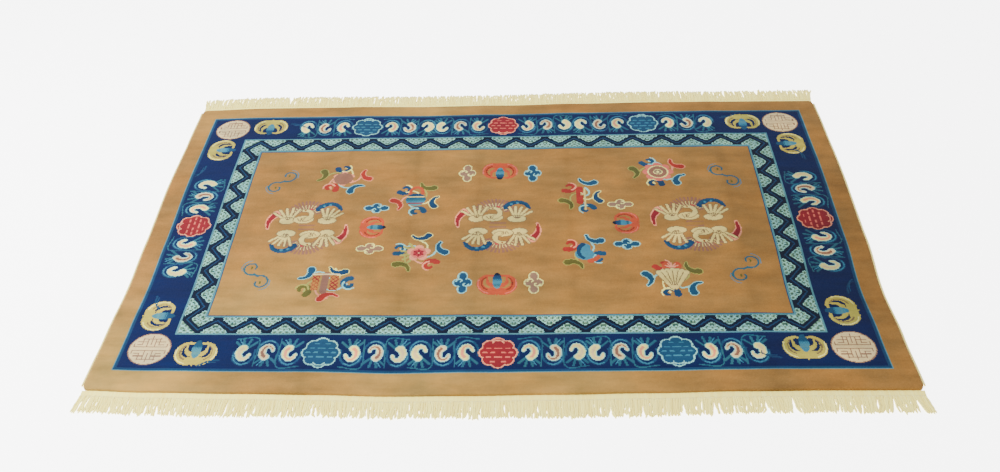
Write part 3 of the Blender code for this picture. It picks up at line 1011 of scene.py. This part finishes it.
def make_twist_group():
    """Twist: slanting plies round a yarn, from its map, as a tone with painted shade in the grooves between
    plies, a height and a random tone.
    """
    tree, given, result = new_group(
        "twist", (("Vector", "Vector"), ("Slant", "Float")),
        (("Tone", "Float"), ("Height", "Float"), ("Yarn", "Float")),
    )
    place = add_node(tree, "SeparateXYZ", (("Vector", given["Vector"]),)).outputs
    turn = maths(tree, "ADD", maths(tree, "MULTIPLY", place["X"], given["Slant"]), place["Y"])
    ridge = maths(tree, "ABSOLUTE", maths(tree, "SINE", maths(tree, "MULTIPLY", turn, math.pi)))
    yarn = add_node(
        tree, "TexWhiteNoise", (("W", maths(tree, "FLOOR", place["X"])),), noise_dimensions="1D"
    ).outputs["Value"]
    # Painted shade: darker where the ridge of the twist is low, in the grooves between plies
    tree.links.new(stretch(tree, ridge, *PLY_GROOVE_SHADE_RANGE, *PLY_GROOVE_SHADE_TONES), result["Tone"])
    tree.links.new(ridge, result["Height"])
    tree.links.new(yarn, result["Yarn"])
    return tree


def group(name, maker):
    """A shader node group, made the first time that a material asks for it."""
    return bpy.data.node_groups.get(name) or maker()


def new_material(name, roughness, sheen):
    """A material with its Principled shader; its constant numbers are set on the shader."""
    material = bpy.data.materials.new(name)
    material.use_nodes = True
    shader = material.node_tree.nodes["Principled BSDF"]
    shader.inputs["Roughness"].default_value = roughness
    shader.inputs["Specular IOR Level"].default_value = CLOTH_SPECULAR
    shader.inputs["Sheen Weight"].default_value = sheen
    shader.inputs["Sheen Roughness"].default_value = SHEEN_ROUGHNESS
    return material, material.node_tree, shader.inputs


def add_bump(tree, shader, height, distance, strength=1.0):
    """Raises the surface by a height."""
    bump = add_node(tree, "Bump", (("Strength", strength), ("Distance", distance), ("Height", height)))
    tree.links.new(bump.outputs["Normal"], shader["Normal"])


def toned(tree, colour, tone):
    """A colour made darker or lighter by a tone."""
    scaled = add_node(tree, "VectorMath", ((0, colour), ("Scale", tone)), operation="SCALE")
    return scaled.outputs["Vector"]


def make_pile_material(name, scale, contrast, relief, colour_share):
    """Wool that takes each knot's dye from the mesh, with abrash, fibres and a soft sheen."""
    material, tree, shader = new_material(name, PILE_ROUGHNESS, PILE_SHEEN)
    place = add_node(tree, "TexCoord").outputs["Object"]
    wool = add_node(tree, "Attribute", attribute_name=WOOL_ATTRIBUTE).outputs["Color"]
    abrash = add_node(tree, "Group", node_tree=group("abrash", make_abrash_group))
    fibre = add_node(tree, "Group", node_tree=group("fibre", make_fibre_group))
    tree.links.new(place, abrash.inputs["Vector"])
    tree.links.new(place, fibre.inputs["Vector"])
    fibre.inputs["Scale"].default_value = scale
    fibre.inputs["Contrast"].default_value = contrast
    tone = maths(tree, "MULTIPLY", abrash.outputs["Tone"], fibre.outputs["Tone"])
    tone = maths(tree, "MULTIPLY", tone, colour_share)
    tint = add_node(
        tree, "MixRGB",
        (("Fac", abrash.outputs["Warmth"]), ("Color1", (*COOL_TINT, 1.0)), ("Color2", (*WARM_TINT, 1.0))),
    ).outputs["Color"]
    tinted = add_node(tree, "VectorMath", ((0, wool), (1, tint)), operation="MULTIPLY").outputs["Vector"]
    tree.links.new(toned(tree, tinted, tone), shader["Base Color"])
    rough = stretch(tree, abrash.outputs["Warmth"], 0.0, 1.0, *WARMTH_ROUGHNESS)
    tree.links.new(rough, shader["Roughness"])
    add_bump(tree, shader, fibre.outputs["Height"], relief)
    return material


def make_yarn_material(name, colour, shade, slant, relief, spread):
    """Cotton or wool yarn: its plies from the yarn map, with painted shade in the grooves between them, each
    yarn in a tone of its own.
    """
    material, tree, shader = new_material(name, YARN_ROUGHNESS, YARN_SHEEN)
    yarn_map = add_node(tree, "UVMap", uv_map=YARN_MAP).outputs["UV"]
    place = add_node(tree, "TexCoord").outputs["Object"]
    twist = add_node(tree, "Group", node_tree=group("twist", make_twist_group))
    fibre = add_node(tree, "Group", node_tree=group("fibre", make_fibre_group))
    tree.links.new(yarn_map, twist.inputs["Vector"])
    twist.inputs["Slant"].default_value = slant
    tree.links.new(place, fibre.inputs["Vector"])
    fibre.inputs["Scale"].default_value = YARN_FIBRE_SCALE
    fibre.inputs["Contrast"].default_value = YARN_FIBRE_CONTRAST
    own = stretch(tree, twist.outputs["Yarn"], 0.0, 1.0, 1.0 - spread, 1.0 + spread / 2)
    # The twist's tone carries painted shade in the grooves between plies
    tone = maths(tree, "MULTIPLY", twist.outputs["Tone"], fibre.outputs["Tone"])
    tone = maths(tree, "MULTIPLY", tone, own)
    mix = add_node(
        tree, "MixRGB",
        (("Fac", twist.outputs["Yarn"]), ("Color1", (*shade, 1.0)), ("Color2", (*colour, 1.0))),
    )
    tree.links.new(toned(tree, mix.outputs["Color"], tone), shader["Base Color"])
    add_bump(tree, shader, twist.outputs["Height"], relief)
    return material


# Pieces


def random_draws(seed):
    """A seeded source of random numbers, so that each run gives the same rug."""
    return np.random.default_rng(seed)


def pile_surface(settings):
    """Points of the pile's top, the chart and each knot's colour.

    The surface is the straight grid between knots, lifted to the pile's height, cut down where
    two colours meet, roughened at random and warped to the outline. A knot's colour is its dye,
    times a random tone less a bell curve of painted shade over each fold. The patches are round
    bell curves, whose sum darkens every wool with painted shade or blends the ground's wool to
    the faded and lit one, which is partly fading and partly painted light.
    """
    chart = knot_chart()
    lines_x, share_x = knot_lines(HALF_LENGTH, KNOTS[0])
    lines_y, share_y = knot_lines(HALF_WIDTH, KNOTS[1])
    x, y = rounded_corner(*np.meshgrid(lines_x, lines_y))
    share = np.minimum(share_x[None, :], share_y[:, None])
    wide = np.pad(chart, 1, mode="edge")
    corners = np.stack([wide[:-1, :-1], wide[1:, :-1], wide[:-1, 1:], wide[1:, 1:]])
    meets = corners.max(0) != corners.min(0)
    draw = random_draws(PILE_SEED)
    rough = draw.normal(0.0, settings.tuft_jitter, x.shape)
    full = share >= 1.0
    height = top_height(x, y) * share + np.where(full, rough - meets * settings.groove_depth, 0.0)
    warped_x, warped_y = warp(x, y)
    dyes = np.array([linear(colour) for colour in WOOLS.values()])
    dyes[WOOL_NUMBER["tan"]] = settings.ground_colour
    dyes[WOOL_NUMBER["navy"]] = settings.navy_colour
    middle_x, middle_y = (axis / 1000 for axis in knot_grid())
    tone = draw.normal(1.0, settings.tone_spread, chart.shape)
    # Painted shade: each fold is darker in a bell curve along its ridge
    for place, _, _ in FOLDS:
        tone -= (1 - FOLD_SHADE_TONE) * np.exp(-(((middle_x - place) / FOLD_SHADE_REACH) ** 2))
    # Patches: partly fading and partly painted light on the ground, and painted shade over every wool where
    # an amount is below zero, strongest at the right end
    fade_and_shade = sum(
        amount * np.exp(-((middle_x - x_place) ** 2 + (middle_y - y_place) ** 2) / reach**2)
        for x_place, y_place, reach, amount in FADE_AND_SHADE_PATCHES
    )
    faded_and_lit = (fade_and_shade.clip(0.0, 1.0) * (chart == WOOL_NUMBER["tan"]))[..., None]
    colours = dyes[chart] * (tone * (1 + fade_and_shade.clip(-1.0, 0.0)))[..., None]
    colours += faded_and_lit * (linear(FADED_AND_LIT_WOOL) - colours)
    return np.stack([warped_x, warped_y, height], -1), colours.clip(0.0, 1.0)


def web_surface(side, columns, rows):
    """A web along one long edge: a grid whose height is its profile and its woven ribs."""
    along = np.linspace(-HALF_LENGTH, HALF_LENGTH, columns)
    across = np.linspace(0.0, 1.0, rows)
    x, part = np.meshgrid(along, across)
    profile = np.interp(part, *np.array(WEB_PROFILE).T)
    ribs = np.cos(x / WEB_RIB * math.tau + part * WEB_RIB_LEAN) * np.cos(part * math.pi * WEB_PICKS)
    height = WEB_THICKNESS * profile + WEB_RIB_HEIGHT * ribs * (profile > WEB_RIB_FROM)
    y = side * (HALF_WIDTH + PIECE_GAP + part * WEB_WIDTH)
    warped = warp(x, y)
    points = np.stack([*warped, height], -1)
    uv = np.stack([x / WEB_RIB, part * WEB_WIDTH / WEB_RIB], -1)
    return points, uv


def fringe_lean(x, partings):
    """How far a strand's tip leans along X: out at the ends, away from each parting."""
    ends = np.exp((x - HALF_LENGTH) / END_REACH) - np.exp((-HALF_LENGTH - x) / END_REACH)
    lean = END_SPLAY * ends + DRIFT * np.sin(x * DRIFT_TURN)
    for place, opening in partings:
        lean = lean + np.copysign(opening, x - place) * np.exp(-np.abs(x - place) / PARTING_REACH)
    return lean


def strand_paths(side, length, partings, seed, settings):
    """Middle line of every strand: straight out from the web, with a lean and two soft waves."""
    draw = random_draws(seed)
    count = settings.strands
    root = np.linspace(-HALF_LENGTH, HALF_LENGTH, count + 1)[:-1] + HALF_LENGTH / count
    root = root + draw.uniform(-ROOT_JITTER, ROOT_JITTER, count) * 2 * HALF_LENGTH / count
    share = np.linspace(0.0, 1.0, STRAND_STEPS + 1)[None, :]
    reach = length + draw.normal(0.0, LENGTH_SPREAD, count) + LENGTH_SWELL * np.sin(root * LENGTH_TURN)
    reach = reach - (draw.random(count) < WORN_SHARE) * draw.uniform(*WORN_OFF, count)
    lean = fringe_lean(root, partings) + draw.normal(0.0, STRAND_STRAY, count)
    wave = draw.normal(0.0, settings.waviness, count)[:, None]
    ripple = draw.normal(0.0, settings.waviness / 2, count)[:, None]
    start = draw.uniform(0.0, math.tau, count)[:, None]
    sway = wave * np.sin(share * math.pi * WAVE_TURN + start)
    sway = sway + ripple * np.sin(share * RIPPLE_TURN + start * 2)
    x = root[:, None] + lean[:, None] * share**LEAN_POWER + sway * share
    y = HALF_WIDTH + PIECE_GAP + WEB_WIDTH - ROOT_TUCK + (reach[:, None] + ROOT_TUCK) * share
    lift = draw.uniform(0.0, STRAND_LIFT, count)[:, None] * np.sin(np.pi * share) ** 2
    z = settings.strand_width / 2 * STRAND_FLATNESS + FLOOR_GAP + lift
    warped = warp(x, side * y)
    return np.stack([*warped, z], -1), reach


def tubes(paths, radius, flatness, sides):
    """Rings about many paths at once: each ring lies across the path's direction.

    radius is one number for each point of each path, and flatness the ring's height to its width.
    At the angle t a ring's point lies at radius (across cos t + up flatness sin t).
    """
    ahead = np.gradient(paths, axis=1)
    ahead /= np.linalg.norm(ahead, axis=-1, keepdims=True)
    across = np.cross(ahead, (0.0, 0.0, 1.0))
    across /= np.linalg.norm(across, axis=-1, keepdims=True)
    up = np.cross(across, ahead)
    turn = np.arange(sides) / sides * math.tau
    ring = np.cos(turn)[:, None] * across[:, :, None]
    ring = ring + flatness * np.sin(turn)[:, None] * up[:, :, None]
    return paths[:, :, None] + ring * radius[..., None, None]


def tube_faces(count, steps, sides):
    """Quads of many tubes, with a face over each end, which holds for tubes of four sides."""
    one = grid_faces(steps, sides, closed=True)
    caps = np.array([np.arange(sides), (steps - 1) * sides + np.arange(sides)[::-1]])
    one = np.concatenate([one[:, ::-1], caps])
    return (one[None] + (np.arange(count) * steps * sides)[:, None, None]).reshape(-1, 4)


def cord_surface(side, settings):
    """A side cord: its profile carried down the side, swelling over each wrap of the yarn."""
    half = HALF_WIDTH - CORNER_RADIUS
    stations = np.linspace(-half, half, settings.sections)
    out, rise = np.array(CORD_PROFILE).T
    wraps = np.sin(stations * math.tau / settings.wrap_pitch)
    slow = sum(np.sin(stations * turn + start) for turn, start in CORD_WAVES)
    girth = 1 + settings.wrap_relief * wraps + CORD_WOBBLE * slow
    x = side * (HALF_LENGTH + PIECE_GAP + girth[:, None] * out * CORD_WIDTH)
    y = np.broadcast_to(stations[:, None], x.shape)
    z = np.clip(girth, 0.0, CORD_MOST)[:, None] * rise * CORD_HEIGHT
    points = np.stack([*warp(x, y), z], -1)
    around = np.linspace(*CORD_MAP, len(out))[None, :]
    along = (stations / settings.wrap_pitch)[:, None]
    uv = np.stack(np.broadcast_arrays(around, along), -1)
    return points, uv


class RugPileSettings(bpy.types.PropertyGroup):
    """Relief and colours of the knotted pile"""

    groove_depth: FloatProperty(
        name="Groove depth", description="How deep the pile is cut where two colours meet",
        default=0.0007, min=0.0, max=0.003, unit="LENGTH",
    )
    tuft_jitter: FloatProperty(
        name="Tuft unevenness", description="Usual height difference between tufts",
        default=0.00022, min=0.0, max=0.001, unit="LENGTH",
    )
    tone_spread: FloatProperty(
        name="Tone spread", description="Usual difference in tone between knots of one wool",
        default=0.035, min=0.0, max=0.2, subtype="FACTOR",
    )
    ground_colour: FloatVectorProperty(
        name="Ground", description="Wool of the field and the plain border",
        default=tuple(linear(WOOLS["tan"])), min=0.0, max=1.0, subtype="COLOR",
    )
    navy_colour: FloatVectorProperty(
        name="Border", description="Wool of the wide border band",
        default=tuple(linear(WOOLS["navy"])), min=0.0, max=1.0, subtype="COLOR",
    )


class RugFringeSettings(bpy.types.PropertyGroup):
    """Sizes and colours of the webs and strands"""

    strands: IntProperty(
        name="Strands", description="Strands along each long edge", default=620, min=10, max=800
    )
    near_length: FloatProperty(
        name="Near length", description="Length of the near strands past the web",
        default=0.070, min=0.01, max=0.2, unit="LENGTH",
    )
    far_length: FloatProperty(
        name="Far length", description="Length of the far strands past the web",
        default=0.078, min=0.01, max=0.2, unit="LENGTH",
    )
    strand_width: FloatProperty(
        name="Strand width", description="Width of one twisted strand",
        default=0.0076, min=0.0005, max=0.01, unit="LENGTH",
    )
    waviness: FloatProperty(
        name="Waviness", description="How far a strand wanders from a straight line",
        default=0.0030, min=0.0, max=0.01, unit="LENGTH",
    )
    colour: FloatVectorProperty(
        name="Cotton", description="Light tone of the cotton", default=tuple(linear((255, 244, 134))),
        min=0.0, max=1.0, subtype="COLOR",
    )
    shade: FloatVectorProperty(
        name="Aged cotton", description="Dark tone of the cotton", default=tuple(linear((254, 234, 114))),
        min=0.0, max=1.0, subtype="COLOR",
    )


class RugCordSettings(bpy.types.PropertyGroup):
    """Wraps and colours of the side cords"""

    wrap_pitch: FloatProperty(
        name="Wrap pitch", description="Distance from one wrap of yarn to the next",
        default=0.0078, min=0.001, max=0.02, unit="LENGTH",
    )
    wrap_relief: FloatProperty(
        name="Wrap relief", description="How far each wrap swells, as a share of the cord's girth",
        default=0.05, min=0.0, max=0.2, subtype="FACTOR",
    )
    sections: IntProperty(
        name="Sections", description="Cross sections down each cord", default=850, min=20, max=2000
    )
    colour: FloatVectorProperty(
        name="Cord", description="Light tone of the cord's yarn", default=tuple(linear((240, 226, 130))),
        min=0.0, max=1.0, subtype="COLOR",
    )
    shade: FloatVectorProperty(
        name="Aged cord", description="Dark tone of the cord's yarn", default=tuple(linear((205, 180, 90))),
        min=0.0, max=1.0, subtype="COLOR",
    )


class RugStageSettings(bpy.types.PropertyGroup):
    """Floor, light and camera"""

    floor_colour: FloatVectorProperty(
        name="Floor", description="Colour of the plain floor", default=(0.86, 0.86, 0.86),
        min=0.0, max=1.0, subtype="COLOR",
    )
    floor_glow: FloatProperty(
        name="Floor glow", description="How far the floor is lit from below, as a light table is",
        default=5.0, min=0.0, max=20.0,
    )
    sky_strength: FloatProperty(
        name="Sky", description="Strength of the even light from all round", default=1.40, min=0.0, max=5.0
    )
    lamp_power: FloatProperty(
        name="Lamp", description="Power of the large soft lamp", default=262.0, min=0.0, max=5000.0,
        unit="POWER",
    )
    lens: FloatProperty(
        name="Lens", description="Focal length of the camera", default=37.0, min=10.0, max=200.0,
        unit="CAMERA",
    )


def make_panel(points, colours, row, column, material):
    """One panel of the pile: its own rows and columns of the whole surface."""
    row_cuts = np.linspace(0, KNOTS[1], PANEL_ROWS + 1).astype(int)
    column_cuts = np.linspace(0, KNOTS[0], PANEL_COLUMNS + 1).astype(int)
    low, high = row_cuts[row], row_cuts[row + 1]
    left, right = column_cuts[column], column_cuts[column + 1]
    part = points[low:high + 1, left:right + 1]
    piece = add_piece(
        f"pile_{row + 1}_{column + 1}", part.reshape(-1, 3), grid_faces(*part.shape[:2]), material,
        "wool_pile", "rug_body",
    )
    dye(piece, colours[low:high, left:right].reshape(-1, 3))
    return piece


class RugPileOperator(bpy.types.Operator):
    """Makes the knotted pile and the woven back from one knot chart"""

    bl_idname = "rug.make_pile"
    bl_label = "Make pile and back"

    def execute(self, context):
        settings = context.scene.rug_pile
        points, colours = pile_surface(settings)
        material = make_pile_material("knotted wool", *PILE_WOOL)
        for row in range(PANEL_ROWS):
            for column in range(PANEL_COLUMNS):
                make_panel(points, colours, row, column, material)
        back = points[::BACK_STEP, ::BACK_STEP].copy()
        back[..., 2] = BACK_LIFT
        back_colours = colours[BACK_STEP // 2::BACK_STEP, BACK_STEP // 2::BACK_STEP]
        faces = grid_faces(*back.shape[:2])[:, ::-1]
        piece = add_piece(
            "rug_back", back.reshape(-1, 3), faces,
            make_pile_material("woven back", *BACK_WOOL), "wool_pile", "rug_body",
        )
        dye(piece, back_colours.reshape(-1, 3))
        return {"FINISHED"}


class RugFringeOperator(bpy.types.Operator):
    """Makes the flat-woven web and the twisted strands along both long edges"""

    bl_idname = "rug.make_fringes"
    bl_label = "Make webs and fringes"

    def execute(self, context):
        settings = context.scene.rug_fringe
        colours = (tuple(settings.colour), tuple(settings.shade))
        web_cotton = make_yarn_material("woven cotton", *colours, *WEB_YARN)
        strand_cotton = make_yarn_material("twisted cotton", *colours, *STRAND_YARN)
        for name, side, length, partings, seed in (
            ("near", -1, settings.near_length, NEAR_PARTINGS, NEAR_SEED),
            ("far", 1, settings.far_length, FAR_PARTINGS, FAR_SEED),
        ):
            points, uv = web_surface(side, WEB_COLUMNS, WEB_ROWS)
            faces = grid_faces(WEB_ROWS, WEB_COLUMNS)[:, ::side]
            web = add_piece(
                f"web_{name}", points.reshape(-1, 3), faces, web_cotton, "cotton_fringe", f"fringe_{name}"
            )
            set_yarn_map(web, uv.reshape(-1, 2)[faces])
            paths, reach = strand_paths(side, length, partings, seed, settings)
            share = np.linspace(0.0, 1.0, STRAND_STEPS + 1)
            width = settings.strand_width / 2 * np.interp(share, *np.array(STRAND_TAPER).T)
            width = np.broadcast_to(width, paths.shape[:2])
            rings = tubes(paths, width, STRAND_FLATNESS, STRAND_SIDES)
            faces = tube_faces(len(paths), STRAND_STEPS + 1, STRAND_SIDES)
            strands = add_piece(
                f"strands_{name}", rings.reshape(-1, 3), faces, strand_cotton, "cotton_fringe",
                f"fringe_{name}",
            )
            number = np.arange(len(paths))[:, None, None]
            along = share[None, :, None] * reach[:, None, None] / PLY_PITCH
            around = np.linspace(*STRAND_MAP, STRAND_SIDES)[None, None, :]
            uv = np.stack(np.broadcast_arrays(number + around, along + 0 * number), -1)
            set_yarn_map(strands, uv.reshape(-1, 2)[faces])
        return {"FINISHED"}


class RugCordOperator(bpy.types.Operator):
    """Makes the overcast cord down each side"""

    bl_idname = "rug.make_side_cords"
    bl_label = "Make side cords"

    def execute(self, context):
        settings = context.scene.rug_cord
        yarn = make_yarn_material(
            "overcast yarn", tuple(settings.colour), tuple(settings.shade), *CORD_YARN
        )
        for name, side in (("left", -1), ("right", 1)):
            points, uv = cord_surface(side, settings)
            faces = grid_faces(*points.shape[:2], closed=True)[:, ::side]
            cord = add_piece(
                f"cord_{name}", points.reshape(-1, 3), faces, yarn, "side_cord", f"side_binding_{name}"
            )
            set_yarn_map(cord, uv.reshape(-1, 2)[faces])
        return {"FINISHED"}


class RugStageOperator(bpy.types.Operator):
    """Makes the floor, the soft light and the camera"""

    bl_idname = "rug.make_stage"
    bl_label = "Make stage"

    def execute(self, context):
        settings = context.scene.rug_stage
        scene = context.scene
        corners = np.array([(-1, -1, 0), (1, -1, 0), (1, 1, 0), (-1, 1, 0)]) * FLOOR_HALF
        mesh = bpy.data.meshes.new("floor")
        mesh.from_pydata(corners.tolist(), [], [(0, 1, 2, 3)])
        floor = bpy.data.objects.new("floor", mesh)
        scene.collection.objects.link(floor)
        material = bpy.data.materials.new("plain floor")
        material.use_nodes = True
        shader = material.node_tree.nodes["Principled BSDF"].inputs
        shader["Base Color"].default_value = (*settings.floor_colour, 1.0)
        shader["Roughness"].default_value = FLOOR_ROUGHNESS
        shader["Emission Color"].default_value = (1.0, 1.0, 1.0, 1.0)
        shader["Emission Strength"].default_value = settings.floor_glow
        mesh.materials.append(material)

        world = bpy.data.worlds.new("studio")
        scene.world = world
        world.use_nodes = True
        sky = world.node_tree.nodes["Background"].inputs
        sky["Color"].default_value = (1.0, 1.0, 1.0, 1.0)
        sky["Strength"].default_value = settings.sky_strength

        lamp = bpy.data.lights.new("soft lamp", "AREA")
        lamp.shape = "RECTANGLE"
        lamp.size, lamp.size_y = LAMP_SIZE
        lamp.energy = settings.lamp_power
        lamp_object = bpy.data.objects.new("soft lamp", lamp)
        lamp_object.location = LAMP_PLACE
        lamp_object.rotation_euler = LAMP_TURN
        scene.collection.objects.link(lamp_object)

        camera = bpy.data.cameras.new("camera")
        camera.lens = settings.lens
        camera.sensor_width = SENSOR_WIDTH
        camera.shift_x = CAMERA_SHIFT
        camera_object = bpy.data.objects.new("camera", camera)
        camera_object.location = np.array(CAMERA_PLACE) + (*CENTRE, 0.0)
        camera_object.rotation_euler = [math.radians(angle) for angle in CAMERA_TURN]
        scene.collection.objects.link(camera_object)
        scene.camera = camera_object
        return {"FINISHED"}


class RugPanel(bpy.types.Panel):
    """Lists the rug's settings and the steps that make it"""

    bl_idname = "VIEW3D_PT_rug"
    bl_label = "Chinese rug"
    bl_space_type = "VIEW_3D"
    bl_region_type = "UI"
    bl_category = "Rug"

    def draw(self, context):
        for operator, settings in STEPS:
            box = self.layout.box()
            for name in getattr(context.scene, settings).__annotations__:
                box.prop(getattr(context.scene, settings), name)
            box.operator(operator.bl_idname)


SETTINGS = {
    "rug_stage": RugStageSettings,
    "rug_pile": RugPileSettings,
    "rug_fringe": RugFringeSettings,
    "rug_cord": RugCordSettings,
}
STEPS = (
    (RugStageOperator, "rug_stage"),
    (RugPileOperator, "rug_pile"),
    (RugFringeOperator, "rug_fringe"),
    (RugCordOperator, "rug_cord"),
)
CLASSES = (*SETTINGS.values(), *(operator for operator, _ in STEPS), RugPanel)


def register():
    for item in CLASSES:
        bpy.utils.register_class(item)
    for name, settings in SETTINGS.items():
        setattr(bpy.types.Scene, name, PointerProperty(type=settings))


def unregister():
    for name in SETTINGS:
        delattr(bpy.types.Scene, name)
    for item in reversed(CLASSES):
        bpy.utils.unregister_class(item)


def main():
    """Makes every piece in order."""
    register()
    bpy.ops.rug.make_stage()
    bpy.ops.rug.make_pile()
    bpy.ops.rug.make_fringes()
    bpy.ops.rug.make_side_cords()


if __name__ == "__main__":
    main()
